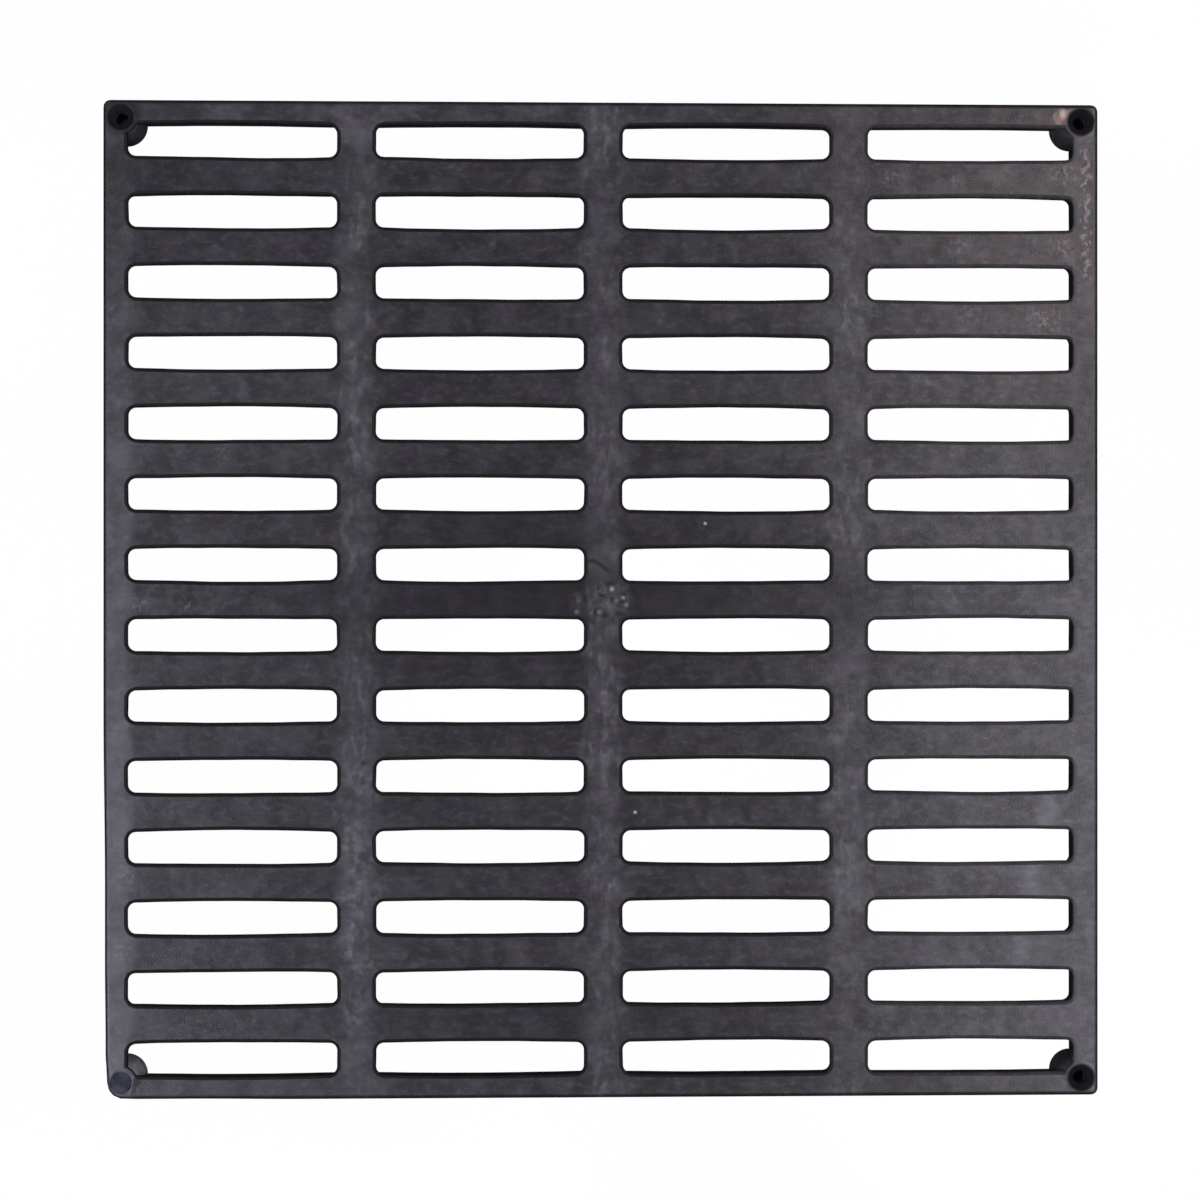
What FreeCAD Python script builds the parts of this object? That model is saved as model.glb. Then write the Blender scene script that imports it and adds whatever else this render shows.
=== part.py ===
import FreeCAD, Part
import Sketcher
import math
import os

os.makedirs("parts", exist_ok=True)

# Square moulded drain grate, one solid piece of plastic.
# Frame: millimetres, +Z up, origin on the underside at the middle of the square.
# The slots run along X, the fourteen rows are stacked along Y.

doc = FreeCAD.newDocument("DrainGrate")

# ---------------------------------------------------------------- sizes
SIZES = [
    ("grate_side", "285"),          # outside of the square
    ("grate_depth", "20"),          # thickness of the panel
    ("outer_corner", "2"),          # upright outside corners
    ("rim_round", "1.2"),           # rounding of the outside edge of the top face
    ("slot_round", "1.0"),          # rounding of the slots' edges on the top face
    ("slot_length", "59.1"),        # slot along X, corner to corner of the sharp top edge
    ("slot_width", "9.25"),         # slot along Y at its middle, likewise
    ("slot_bow", "0.35"),           # how far each long side bows outward
    ("slot_corner", "2.25"),        # corner radius of a slot at the top
    ("slot_draft", "6"),            # degrees; the slots widen downward
    ("foot_corner", "2.2"),         # corner radius of a slot at the underside
    ("slot_pitch_x", "70.5"),
    ("slot_pitch_y", "20.15"),
    ("slot_columns", "4"),
    ("slot_rows", "14"),
    ("boss_foot", "6"),             # boss round each screw hole, radius at the underside
    ("boss_draft", "3"),            # degrees; the boss narrows upward
    ("hole_spacing", "275"),        # corner screw holes, both ways
    ("hole_bore", "4"),             # clearance bore
    ("sink_mouth", "7.3"),          # countersink at the top face
    ("sink_angle", "90"),
]

sheet = doc.addObject("Spreadsheet::Sheet", "Sizes")
for row, (alias, text) in enumerate(SIZES, start=1):
    sheet.set("A%d" % row, alias)
    sheet.set("B%d" % row, text)
    sheet.setAlias("B%d" % row, alias)
doc.recompute()
value = {alias: float(text) for alias, text in SIZES}

body = doc.addObject("PartDesign::Body", "grate")
body.Label = "grate"
body.Placement = FreeCAD.Placement()


def origin_plane(role):
    for feature in body.Origin.OriginFeatures:
        if feature.Role == role:
            return feature
    raise RuntimeError("no origin feature " + role)


def new_sketch(name, height=None):
    """Sketch parallel to the underside, lifted by the sheet value `height`."""
    sketch = body.newObject("Sketcher::SketchObject", name)
    sketch.AttachmentSupport = [(origin_plane("XY_Plane"), "")]
    sketch.MapMode = "FlatFace"
    if height:
        sketch.setExpression("AttachmentOffset.Base.z", "Sizes." + height)
    doc.recompute()
    return sketch


def vec(x, y):
    return FreeCAD.Vector(x, y, 0)


def bind(sketch, constraint, name, expression):
    index = sketch.addConstraint(constraint)
    sketch.renameConstraint(index, name)
    sketch.setExpression("Constraints." + name, expression)
    return index


# ---------------------------------------------------------------- square panel
half = value["grate_side"] / 2.0
outline = new_sketch("OutlineSketch")
corners = [vec(-half, -half), vec(half, -half), vec(half, half), vec(-half, half)]
for i in range(4):
    outline.addGeometry(Part.LineSegment(corners[i], corners[(i + 1) % 4]), False)
for i in range(4):
    outline.addConstraint(Sketcher.Constraint("Coincident", i, 2, (i + 1) % 4, 1))
outline.addConstraint(Sketcher.Constraint("Horizontal", 0))
outline.addConstraint(Sketcher.Constraint("Horizontal", 2))
outline.addConstraint(Sketcher.Constraint("Vertical", 1))
outline.addConstraint(Sketcher.Constraint("Vertical", 3))
outline.addConstraint(Sketcher.Constraint("Symmetric", 0, 1, 2, 1, -1, 1))
bind(outline, Sketcher.Constraint("DistanceX", 0, 1, 0, 2, 2 * half), "SideX", "Sizes.grate_side")
bind(outline, Sketcher.Constraint("DistanceY", 1, 1, 1, 2, 2 * half), "SideY", "Sizes.grate_side")

panel = body.newObject("PartDesign::Pad", "Panel")
panel.Profile = outline
panel.setExpression("Length", "Sizes.grate_depth")
doc.recompute()

upright = []
for i, edge in enumerate(panel.Shape.Edges, start=1):
    a, b = edge.Vertexes[0].Point, edge.Vertexes[-1].Point
    if abs(a.z - b.z) > 1.0:
        upright.append("Edge%d" % i)
rounded = body.newObject("PartDesign::Fillet", "OuterCorners")
rounded.Base = (panel, upright)
rounded.setExpression("Radius", "Sizes.outer_corner")
doc.recompute()

# ---------------------------------------------------------------- one slot
# Two long sides bowed outward, two straight ends, four rounded corners.  The walls are
# ruled from the outline in the top face to the wider, sharper-cornered one in the underside.
bow = value["slot_bow"]
cx = -value["slot_pitch_x"] * (value["slot_columns"] - 1) / 2.0
cy = -value["slot_pitch_y"] * (value["slot_rows"] - 1) / 2.0
MID_X = "Sizes.slot_pitch_x * (Sizes.slot_columns - 1) / 2"
MID_Y = "Sizes.slot_pitch_y * (Sizes.slot_rows - 1) / 2"
SPREAD = "2 * Sizes.grate_depth * tan(Sizes.slot_draft)"
spread = 2.0 * value["grate_depth"] * math.tan(math.radians(value["slot_draft"]))


def slot_outline(name, height, length, width, corner, length_text, width_text, corner_text):
    """Closed slot outline at the lower left place of the grid."""
    sketch = new_sketch(name, height)
    a, b, rc = length / 2.0, width / 2.0, corner
    big = (a * a + bow * bow) / (2.0 * bow)
    drop = big - b                                  # bow centre beyond the slot's middle
    ux = a - rc                                     # corner centre, along the slot
    uy = math.sqrt((big - rc) ** 2 - ux ** 2) - drop
    tip = math.atan2(uy + drop, ux)                 # angle of the tangent point on the bow

    def arc(centre, radius, start, end):
        circle = Part.Circle(centre, FreeCAD.Vector(0, 0, 1), radius)
        return sketch.addGeometry(Part.ArcOfCircle(circle, start, end), False)

    def line(p, q):
        return sketch.addGeometry(Part.LineSegment(p, q), False)

    upper = arc(vec(cx, cy - drop), big, tip, math.pi - tip)
    corner_ul = arc(vec(cx - ux, cy + uy), rc, math.pi - tip, math.pi)
    left = line(vec(cx - a, cy + uy), vec(cx - a, cy - uy))
    corner_ll = arc(vec(cx - ux, cy - uy), rc, math.pi, math.pi + tip)
    lower = arc(vec(cx, cy + drop), big, math.pi + tip, 2 * math.pi - tip)
    corner_lr = arc(vec(cx + ux, cy - uy), rc, 2 * math.pi - tip, 2 * math.pi)
    right = line(vec(cx + a, cy - uy), vec(cx + a, cy + uy))
    corner_ur = arc(vec(cx + ux, cy + uy), rc, 0.0, tip)
    loop = [upper, corner_ul, left, corner_ll, lower, corner_lr, right, corner_ur]
    for i in range(8):
        sketch.addConstraint(Sketcher.Constraint("Tangent", loop[i], 2, loop[(i + 1) % 8], 1))
    sketch.addConstraint(Sketcher.Constraint("Vertical", left))
    sketch.addConstraint(Sketcher.Constraint("Vertical", right))
    sketch.addConstraint(Sketcher.Constraint("Equal", upper, lower))
    for other in (corner_ll, corner_lr, corner_ur):
        sketch.addConstraint(Sketcher.Constraint("Equal", corner_ul, other))
    radius = "((%s) * (%s) / 4 + Sizes.slot_bow * Sizes.slot_bow) / (2 * Sizes.slot_bow)" % (length_text, length_text)
    bind(sketch, Sketcher.Constraint("Radius", upper, big), "BowRadius", radius)
    bind(sketch, Sketcher.Constraint("Radius", corner_ul, rc), "CornerRadius", corner_text)
    bind(sketch, Sketcher.Constraint("DistanceX", upper, 3, -1, 1, -cx), "UpperMidX", MID_X)
    bind(sketch, Sketcher.Constraint("DistanceX", lower, 3, -1, 1, -cx), "LowerMidX", MID_X)
    bind(sketch, Sketcher.Constraint("DistanceY", upper, 3, -1, 1, -(cy - drop)), "UpperMidY",
         "%s + %s - (%s) / 2" % (MID_Y, radius, width_text))
    bind(sketch, Sketcher.Constraint("DistanceY", upper, 3, lower, 3, 2 * drop), "BowCentres",
         "2 * %s - (%s)" % (radius, width_text))
    bind(sketch, Sketcher.Constraint("DistanceX", left, 1, -1, 1, -(cx - a)), "LeftEnd", "%s + (%s) / 2" % (MID_X, length_text))
    bind(sketch, Sketcher.Constraint("DistanceX", left, 1, right, 1, 2 * a), "EndToEnd", length_text)
    doc.recompute()
    return sketch


slot_sketch = slot_outline("SlotSketch", "grate_depth", value["slot_length"], value["slot_width"], value["slot_corner"],
                           "Sizes.slot_length", "Sizes.slot_width", "Sizes.slot_corner")
foot_sketch = slot_outline("SlotFootSketch", None, value["slot_length"] + spread, value["slot_width"] + spread, value["foot_corner"],
                           "Sizes.slot_length + " + SPREAD, "Sizes.slot_width + " + SPREAD, "Sizes.foot_corner")

slot = body.newObject("PartDesign::SubtractiveLoft", "Slot")
slot.Profile = slot_sketch
slot.Sections = [foot_sketch]
slot.Ruled = True
slot.Closed = False
doc.recompute()

grid = body.newObject("PartDesign::LinearPattern", "SlotGrid")
grid.Originals = [slot]
grid.Direction = (slot_sketch, ["H_Axis"])
grid.Direction2 = (slot_sketch, ["V_Axis"])
grid.setExpression("Occurrences", "Sizes.slot_columns")
grid.setExpression("Occurrences2", "Sizes.slot_rows")
grid.setExpression("Length", "Sizes.slot_pitch_x * (Sizes.slot_columns - 1)")
grid.setExpression("Length2", "Sizes.slot_pitch_y * (Sizes.slot_rows - 1)")
body.Tip = grid
doc.recompute()

# ---------------------------------------------------------------- rounded edges of the slots
def top_edges(shape, outside):
    """Names of the edges in the top face, either round the outside or round the slots."""
    names = []
    for i, edge in enumerate(shape.Edges, start=1):
        span = edge.BoundBox
        reach = max(abs(span.XMin), abs(span.XMax), abs(span.YMin), abs(span.YMax))
        if span.ZMin > value["grate_depth"] - 1e-4 and (reach > half - 0.5) == outside:
            names.append("Edge%d" % i)
    return names


eased = body.newObject("PartDesign::Fillet", "SlotEdges")
eased.Base = (grid, top_edges(grid.Shape, False))
eased.setExpression("Radius", "Sizes.slot_round")
doc.recompute()

# ---------------------------------------------------------------- corner bosses
post = value["hole_spacing"] / 2.0
places = [(-1, -1), (1, -1), (1, 1), (-1, 1)]


def four_circles(sketch, radius, expression):
    for i, (sx, sy) in enumerate(places):
        sketch.addGeometry(Part.Circle(vec(sx * post, sy * post), FreeCAD.Vector(0, 0, 1), radius), False)
    for i, (sx, sy) in enumerate(places):
        if i:
            sketch.addConstraint(Sketcher.Constraint("Equal", 0, i))
        first, second = ((i, 3), (-1, 1)) if sx < 0 else ((-1, 1), (i, 3))
        bind(sketch, Sketcher.Constraint("DistanceX", first[0], first[1], second[0], second[1], post),
             "AcrossX%d" % i, "Sizes.hole_spacing / 2")
        first, second = ((i, 3), (-1, 1)) if sy < 0 else ((-1, 1), (i, 3))
        bind(sketch, Sketcher.Constraint("DistanceY", first[0], first[1], second[0], second[1], post),
             "AcrossY%d" % i, "Sizes.hole_spacing / 2")
    bind(sketch, Sketcher.Constraint("Radius", 0, radius), "Round", expression)


boss_sketch = new_sketch("BossSketch")
four_circles(boss_sketch, value["boss_foot"], "Sizes.boss_foot")
doc.recompute()
bosses = body.newObject("PartDesign::Pad", "Bosses")
bosses.Profile = boss_sketch
bosses.setExpression("Length", "Sizes.grate_depth")
bosses.setExpression("TaperAngle", "-Sizes.boss_draft")
doc.recompute()

# The bosses end flush with the sides of the panel: everything outside its outline goes.
trim_sketch = new_sketch("TrimSketch", "grate_depth")
rk = value["outer_corner"]
inner = half - rk
flats, bends = [], []
for i in range(4):
    turn = FreeCAD.Rotation(FreeCAD.Vector(0, 0, 1), 90.0 * i)
    flats.append(trim_sketch.addGeometry(Part.LineSegment(turn.multVec(vec(-inner, -half)), turn.multVec(vec(inner, -half))), False))
    circle = Part.Circle(turn.multVec(vec(inner, -inner)), FreeCAD.Vector(0, 0, 1), rk)
    bends.append(trim_sketch.addGeometry(Part.ArcOfCircle(circle, math.radians(90.0 * i - 90.0), math.radians(90.0 * i)), False))
for i in range(4):
    trim_sketch.addConstraint(Sketcher.Constraint("Tangent", flats[i], 2, bends[i], 1))
    trim_sketch.addConstraint(Sketcher.Constraint("Tangent", bends[i], 2, flats[(i + 1) % 4], 1))
    if i:
        trim_sketch.addConstraint(Sketcher.Constraint("Equal", bends[0], bends[i]))
trim_sketch.addConstraint(Sketcher.Constraint("Horizontal", flats[0]))
trim_sketch.addConstraint(Sketcher.Constraint("Vertical", flats[1]))
bind(trim_sketch, Sketcher.Constraint("Radius", bends[0], rk), "CornerRadius", "Sizes.outer_corner")
bind(trim_sketch, Sketcher.Constraint("DistanceX", flats[3], 1, flats[1], 1, 2 * half), "AcrossX", "Sizes.grate_side")
bind(trim_sketch, Sketcher.Constraint("DistanceY", flats[0], 1, flats[2], 1, 2 * half), "AcrossY", "Sizes.grate_side")
bind(trim_sketch, Sketcher.Constraint("DistanceX", -1, 1, flats[1], 1, half), "HalfX", "Sizes.grate_side / 2")
bind(trim_sketch, Sketcher.Constraint("DistanceY", -1, 1, flats[2], 1, half), "HalfY", "Sizes.grate_side / 2")
ring = trim_sketch.addGeometry(Part.Circle(vec(0, 0), FreeCAD.Vector(0, 0, 1), 2 * half), False)
trim_sketch.addConstraint(Sketcher.Constraint("Coincident", ring, 3, -1, 1))
bind(trim_sketch, Sketcher.Constraint("Radius", ring, 2 * half), "Outside", "Sizes.grate_side")
doc.recompute()
trim = body.newObject("PartDesign::Pocket", "Trim")
trim.Profile = trim_sketch
trim.Type = "Length"
trim.setExpression("Length", "Sizes.grate_depth")
doc.recompute()

# ---------------------------------------------------------------- rounded outside edge of the top face
rim = body.newObject("PartDesign::Fillet", "RimEdges")
rim.Base = (trim, top_edges(trim.Shape, True))
rim.setExpression("Radius", "Sizes.rim_round")
doc.recompute()

# ---------------------------------------------------------------- countersunk screw holes
hole_sketch = new_sketch("HoleSketch", "grate_depth")
four_circles(hole_sketch, value["hole_bore"] / 2.0, "Sizes.hole_bore / 2")
doc.recompute()
holes = body.newObject("PartDesign::Hole", "ScrewHoles")
holes.Profile = hole_sketch
doc.recompute()
holes.ThreadType = "None"
holes.DepthType = "ThroughAll"
holes.setExpression("Diameter", "Sizes.hole_bore")
holes.HoleCutType = "Countersink"
holes.HoleCutCustomValues = True
holes.setExpression("HoleCutDiameter", "Sizes.sink_mouth")
holes.setExpression("HoleCutCountersinkAngle", "Sizes.sink_angle")
doc.recompute()

# ---------------------------------------------------------------- check and write
for obj in doc.Objects:
    if "Invalid" in obj.State or "Error" in obj.State:
        raise RuntimeError("%s is %s" % (obj.Name, obj.State))
for obj in doc.Objects:
    if obj.isDerivedFrom("PartDesign::Feature"):
        print(obj.Name, obj.Shape.isValid(), len(obj.Shape.Solids), len(obj.Shape.Faces), round(obj.Shape.Volume / 1000.0, 3))
shape = body.Shape
if shape.isNull() or not shape.isValid() or len(shape.Solids) != 1:
    raise RuntimeError("the grate is not one valid solid")
box = shape.BoundBox
print("solids", len(shape.Solids), "faces", len(shape.Faces), "volume_cm3", round(shape.Volume / 1000.0, 2))
print("box", [round(v, 3) for v in (box.XMin, box.YMin, box.ZMin, box.XMax, box.YMax, box.ZMax)])
shape.exportStep("parts/grate.step")
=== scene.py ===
import math

import bpy
import bmesh
import numpy as np
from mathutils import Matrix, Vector


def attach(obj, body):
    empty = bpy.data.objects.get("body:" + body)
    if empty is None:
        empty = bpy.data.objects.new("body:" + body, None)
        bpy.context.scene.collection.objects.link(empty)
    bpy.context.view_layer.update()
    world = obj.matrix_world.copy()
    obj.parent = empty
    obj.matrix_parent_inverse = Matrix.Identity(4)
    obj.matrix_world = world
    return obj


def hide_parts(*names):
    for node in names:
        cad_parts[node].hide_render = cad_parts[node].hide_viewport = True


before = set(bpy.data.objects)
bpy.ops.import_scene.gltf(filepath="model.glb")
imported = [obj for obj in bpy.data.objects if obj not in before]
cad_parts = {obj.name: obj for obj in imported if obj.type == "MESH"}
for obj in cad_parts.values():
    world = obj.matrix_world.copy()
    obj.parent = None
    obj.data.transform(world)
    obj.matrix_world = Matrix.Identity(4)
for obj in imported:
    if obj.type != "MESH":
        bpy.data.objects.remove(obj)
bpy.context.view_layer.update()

scene = bpy.context.scene
MM = 0.001

# ------------------------------------------------------------------ sizes, in millimetres, as in the part
SIDE, DEPTH = 285.0, 20.0
HALF = SIDE / 2.0
RIM, ROUND = 1.2, 1.0            # rounded top edges: outside, and round the slots
FOOT = 0.25                      # eased bottom edges
SLOT_L, SLOT_W, BOW = 59.1, 9.25, 0.35
GROW = 2.0 * DEPTH * math.tan(math.radians(6.0))      # how much longer and wider a slot is underneath
SLOT_R, FOOT_R = 2.25, 2.2        # its corner radius at the top and underneath
PX, PY, COLS, ROWS = 70.5, 20.15, 4, 14
HOLE_AT, BORE_R, SINK_R = 137.5, 2.0, 3.65
BOSS_FOOT, BOSS_LEAN = 5.95, math.tan(math.radians(3.0))
# upright corners: how far from the outside they begin; the lower left one is worn
CORNER_R = {(-1, -1): 6.0, (1, -1): 2.0, (1, 1): 2.0, (-1, 1): 2.0}

# ------------------------------------------------------------------ smooth seeded unevenness
rng = np.random.RandomState(11)


def make_waves(count, shortest, longest):
    ang = rng.uniform(0, 2 * math.pi, count)
    wav = np.exp(rng.uniform(math.log(shortest), math.log(longest), count))
    pha = rng.uniform(0, 2 * math.pi, count)
    return np.cos(ang) / wav * 2 * math.pi, np.sin(ang) / wav * 2 * math.pi, pha, np.sqrt(wav / longest)


def waves(w, x, y):
    kx, ky, pha, amp = w
    total = np.zeros_like(x)
    for i in range(len(kx)):
        total += amp[i] * np.sin(kx[i] * x + ky[i] * y + pha[i])
    return total / math.sqrt((amp ** 2).sum() / 2.0)


def ramp(v, lo, hi):
    t = np.clip((v - lo) / (hi - lo), 0.0, 1.0)
    return t * t * (3.0 - 2.0 * t)


def corner_size(u, v, worn):
    """Reach of the corner through a point: a quarter circle, or the blunt slant that wear has left."""
    if not worn:
        return np.hypot(u, v)
    return ((u / 0.842) ** 8 + (v / 0.963) ** 8 + ((0.73 * u + 0.68 * v) / 0.941) ** 8) ** 0.125


def worn_left(y):
    """How far the left edge has worn back, toward the lower left corner."""
    return 0.42 * ramp(-y, 32.0, 82.0) + 0.17 * ramp(-y, 105.0, 125.0) + 0.38 * ramp(-y, 129.0, HALF - 6.0)


def worn_below(x):
    return 0.26 * ramp(-x, 85.0, 118.0)


WAVE_X = make_waves(14, 9.0, 60.0)
WAVE_Y = make_waves(14, 9.0, 60.0)
WAVE_Z = make_waves(18, 12.0, 70.0)
SCAR_A = make_waves(40, 2.2, 5.5)
SCAR_B = make_waves(40, 1.0, 2.2)


def wander(x, y):
    """Slot edges wander a little in the plan; the outside stays true."""
    inside = np.clip((HALF - 1.5 - np.maximum(np.abs(x), np.abs(y))) / 6.0, 0.0, 1.0)
    return 0.06 * inside * waves(WAVE_X, x, y), 0.06 * inside * waves(WAVE_Y, x, y)


# ------------------------------------------------------------------ one slot's outline and its cell
N_ARC, N_END, N_LONG = 10, 2, 26         # segments in a corner, an end and a long side


def slot_outline(length, width, r):
    """Counter-clockwise from the middle of the lower right corner: point, outward normal, and where it meets the cell's edge."""
    a, b = length / 2, width / 2
    big = (a * a + BOW * BOW) / (2 * BOW)
    drop = big - b
    ux = a - r
    uy = math.sqrt((big - r) ** 2 - ux ** 2) - drop
    tip = math.atan2(uy + drop, ux)
    tx = big * math.cos(tip)
    out = []

    def corner(sx, sy, steps):
        for q in steps:
            th = tip * q
            out.append((sx * (ux + r * math.cos(th)), sy * (uy + r * math.sin(th)),
                        sx * math.cos(th), sy * math.sin(th), ("corner", sx, sy, q)))

    def end(sx):
        for k in range(1, N_END):
            y = sx * (-uy + 2 * uy * k / N_END)
            out.append((sx * a, y, sx, 0.0, ("end", sx, 0, y)))

    def long_side(sy):
        for k in range(1, N_LONG):
            x = sy * (tx - 2 * tx * k / N_LONG)
            c = math.sqrt(big * big - x * x)
            out.append((x, sy * (c - drop), x / big, sy * c / big, ("long", 0, sy, x)))

    half = N_ARC // 2
    falling = [0.5 - 0.5 * k / half for k in range(half + 1)]
    rising = [0.5 * k / half for k in range(half)]
    upper = [0.5 + 0.5 * k / half for k in range(half + 1)]
    lower = [1.0 - 0.5 * k / half for k in range(half)]
    marks = {}
    marks["R"] = len(out)
    corner(1, -1, falling); end(1); corner(1, 1, rising)
    marks["T"] = len(out)
    corner(1, 1, upper); long_side(1); corner(-1, 1, lower)
    marks["L"] = len(out)
    corner(-1, 1, falling); end(-1); corner(-1, -1, rising)
    marks["B"] = len(out)
    corner(-1, -1, upper); long_side(-1); corner(1, -1, lower)
    return out, marks, tx, uy


OUT, MARK, TX, UY = slot_outline(SLOT_L, SLOT_W, SLOT_R)
N = len(OUT)
P0 = np.array([(o[0], o[1]) for o in OUT])
NORMAL = np.array([(o[2], o[3]) for o in OUT])
under = slot_outline(SLOT_L + GROW, SLOT_W + GROW, FOOT_R)[0]
P1 = np.array([(o[0], o[1]) for o in under])
NORMAL_1 = np.array([(o[2], o[3]) for o in under])
SPREAD = [0.0, 0.2, 0.4, 0.6, 0.8, 1.0]            # from the cell's corner along its edge
OUTER_SPREAD = [0.0, 0.075, 0.15, 0.235, 0.5, 1.0]  # closer together on the panel's own corners

def cell_edge(row, col, inset):
    """The cell's rectangle, point for point beside the slot's outline, relative to the slot's middle."""
    cx, cy = PX * (col - 1.5), PY * (6.5 - row)
    xr = (HALF - inset) - cx if col == COLS - 1 else PX / 2
    xl = -(HALF - inset) - cx if col == 0 else -PX / 2
    yt = (HALF - inset) - cy if row == 0 else PY / 2
    yb = -(HALF - inset) - cy if row == ROWS - 1 else -PY / 2
    pts = np.zeros((N, 2))
    for i, (_, _, _, _, (kind, sx, sy, v)) in enumerate(OUT):
        xs = xr if sx > 0 else xl
        ys = yt if sy > 0 else yb
        if kind == "end":
            pts[i] = (xs, v)
        elif kind == "long":
            pts[i] = (v, ys)
        else:
            outer = (col == (COLS - 1 if sx > 0 else 0)) and (row == (0 if sy > 0 else ROWS - 1))
            table = OUTER_SPREAD if outer else SPREAD
            if v <= 0.5:
                f = 1.0 - table[int(round((0.5 - v) * N_ARC))]
                pts[i] = (xs, sy * (UY + (abs(ys) - UY) * f))
            else:
                f = 1.0 - table[int(round((v - 0.5) * N_ARC))]
                pts[i] = (sx * (TX + (abs(xs) - TX) * f), ys)
    return pts


def side_of(pts, start, stop):
    return pts[MARK[start]:MARK[stop] + 1] if stop else np.vstack([pts[MARK[start]:], pts[:1]])


# rings of a slot's wall: rounded top edge, leaning wall, eased bottom edge
lean = np.arctan(((P1 - P0) * NORMAL).sum(axis=1) / DEPTH)
lip_off = ROUND * (1 + np.sin(lean)) / np.cos(lean)
LIP = P0 + NORMAL * (lip_off + 0.12)[:, None]
WALL = []                                            # (points in the plan, heights)
for k in range(6):
    th = math.pi / 2 + (math.pi / 2 + lean) * k / 5
    WALL.append((P0 + NORMAL * (lip_off + ROUND * np.cos(th))[:, None], DEPTH - ROUND + ROUND * np.sin(th)))
for h in (17.4, 9.0, FOOT):
    WALL.append((P0 + (P1 - P0) * (DEPTH - h) / DEPTH, np.full(N, h)))
WALL.append((P1 + NORMAL_1 * FOOT, np.zeros(N)))

verts, quads = [], []


def add_strip(rings, flip):
    """Quads between closed rings of equally many points."""
    first = sum(len(v) for v in verts)
    count = len(rings[0])
    for ring in rings:
        verts.append(ring)
    k = np.arange(count)
    kn = (k + 1) % count
    for i in range(len(rings) - 1):
        a, b = first + i * count, first + (i + 1) * count
        q = np.stack([a + k, a + kn, b + kn, b + k], 1)
        quads.append(q[:, ::-1] if flip else q)


def at_height(xy, z):
    return np.column_stack([xy, z if np.ndim(z) else np.full(len(xy), z)])


for row in range(ROWS):
    for col in range(COLS):
        middle = np.array([PX * (col - 1.5), PY * (6.5 - row)])
        top, low = cell_edge(row, col, RIM) + middle, cell_edge(row, col, FOOT) + middle
        lip = LIP + middle
        rings = []
        for f in (0.0, 0.035, 0.45):
            rings.append(at_height(top + (lip - top) * f, DEPTH))
        rings.append(at_height(lip, DEPTH))
        for plan, h in WALL:
            rings.append(at_height(plan + middle, h))
        rings.append(at_height(low, 0.0))
        add_strip(rings, False)


def perimeter(inset):
    sides = []
    for col in range(COLS):
        sides.append(side_of(cell_edge(ROWS - 1, col, inset), "B", None) + (PX * (col - 1.5), PY * (6.5 - (ROWS - 1))))
    for row in reversed(range(ROWS)):
        sides.append(side_of(cell_edge(row, COLS - 1, inset), "R", "T") + (PX * (COLS - 2.5), PY * (6.5 - row)))
    for col in reversed(range(COLS)):
        sides.append(side_of(cell_edge(0, col, inset), "T", "L") + (PX * (col - 1.5), PY * 6.5))
    for row in range(ROWS):
        sides.append(side_of(cell_edge(row, 0, inset), "L", "B") + (PX * -1.5, PY * (6.5 - row)))
    return np.vstack([s[:-1] for s in sides])


rings = []
for k in range(6):
    th = math.radians(90.0 * k / 5)
    rings.append(at_height(perimeter(RIM * (1 - math.sin(th))), DEPTH - RIM * (1 - math.cos(th))))
for h in (17.4, 9.0, FOOT):
    rings.append(at_height(perimeter(0.0), h))
rings.append(at_height(perimeter(FOOT), 0.0))
add_strip(rings, True)

V = np.vstack(verts)
Q = np.vstack(quads)

# ------------------------------------------------------------------ upright corners and unevenness of the moulding
for (sx, sy), r in CORNER_R.items():
    u, v = V[:, 0] * sx - (HALF - r), V[:, 1] * sy - (HALF - r)
    worn = sx < 0 and sy < 0
    m = (u > 1e-9) & (v > 1e-9)
    f = np.maximum(u[m], v[m]) / corner_size(u[m], v[m], worn)
    if worn:
        side, foot = (u > 1e-9) & (v <= 1e-9), (v > 1e-9) & (u <= 1e-9)
        V[side, 0] += worn_left(V[side, 1]) * u[side] / r
        V[foot, 1] += worn_below(V[foot, 0]) * v[foot] / r
    V[m, 0] = sx * (HALF - r + u[m] * f)
    V[m, 1] = sy * (HALF - r + v[m] * f)

shift_x, shift_y = wander(V[:, 0], V[:, 1])
V[:, 0] += shift_x
V[:, 1] += shift_y

mesh = bpy.data.meshes.new("grate_skin")
mesh.from_pydata([tuple(v) for v in V * MM], [], [tuple(int(i) for i in q) for q in Q])
bm = bmesh.new()
bm.from_mesh(mesh)
bmesh.ops.remove_doubles(bm, verts=bm.verts, dist=2e-6)
print("open edges after joining the cells:", sum(len(e.link_faces) != 2 for e in bm.edges))

# ------------------------------------------------------------------ broken-off sprue on the middle crossing, and a flow line above it
# small dry marks on the bars: centre, half sizes and strength
MARKS = [(83.0, 121.0, 3.2, 2.4, 0.30), (101.9, 120.5, 2.0, 2.6, 0.28), (102.5, 101.5, 3.4, 2.6, 0.30), (92.2, 62.6, 3.4, 2.0, 0.22),
         (105.4, 82.1, 3.6, 2.6, 0.24), (-131.9, -1.0, 2.4, 2.0, 0.36), (-119.3, -1.2, 1.6, 1.8, 0.36), (-108.6, 42.8, 1.5, 4.0, 0.26),
         (-137.9, -71.3, 1.8, 3.2, 0.17), (-136.2, -79.3, 2.6, 2.6, 0.26), (-136.8, -99.9, 2.4, 3.0, 0.28)]

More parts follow.
